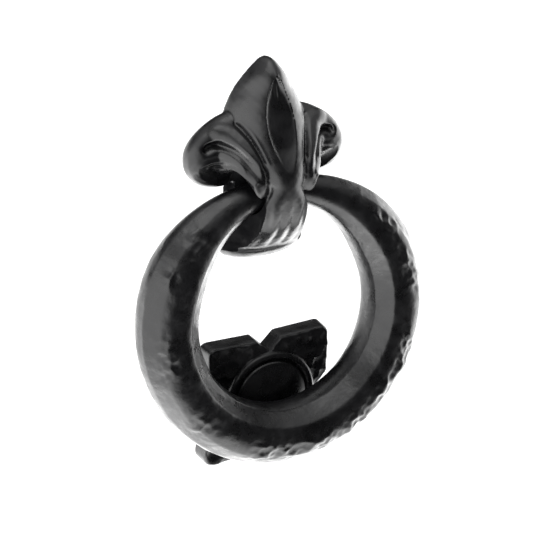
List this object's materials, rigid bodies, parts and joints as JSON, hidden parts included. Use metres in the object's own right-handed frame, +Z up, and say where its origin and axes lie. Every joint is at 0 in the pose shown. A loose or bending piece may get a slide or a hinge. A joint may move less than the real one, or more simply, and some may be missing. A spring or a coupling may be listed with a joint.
{
  "type": "door knocker",
  "caption": "Cast ring door knocker: a fleur-de-lis head whose throat holds a swinging ring, and a separate notched strike plate with a domed button.",
  "frame": {"origin": "on the door's front face, on the flat back of the head casting, straight behind the ring's pivot", "axes": "+X to the right as seen from in front of the door, +Y into the door, +Z up"},
  "size_m": [0.1126, 0.0642, 0.1526],
  "materials": {
    "black_enamel": "glossy black enamel",
    "black_bolt": "glossy black enamel",
    "zinc_steel": "bright zinc plate"
  },
  "bodies": {
    "door_side": {"head_casting": "black_enamel", "strike_plate": "black_enamel", "strike_bolt": "black_bolt", "strike_washer": "zinc_steel", "strike_nut": "zinc_steel", "head_stud": "zinc_steel", "head_washer": "zinc_steel", "head_nut": "zinc_steel"},
    "ring": {"knocker_ring": "black_enamel"}
  },
  "joints": [
    {"name": "ring_swing", "type": "hinge", "parent": "door_side", "child": "ring", "pos_m": [0, -0.0129, 0], "axis": [-1, 0, 0], "range_deg": [0, 145]}
  ]
}
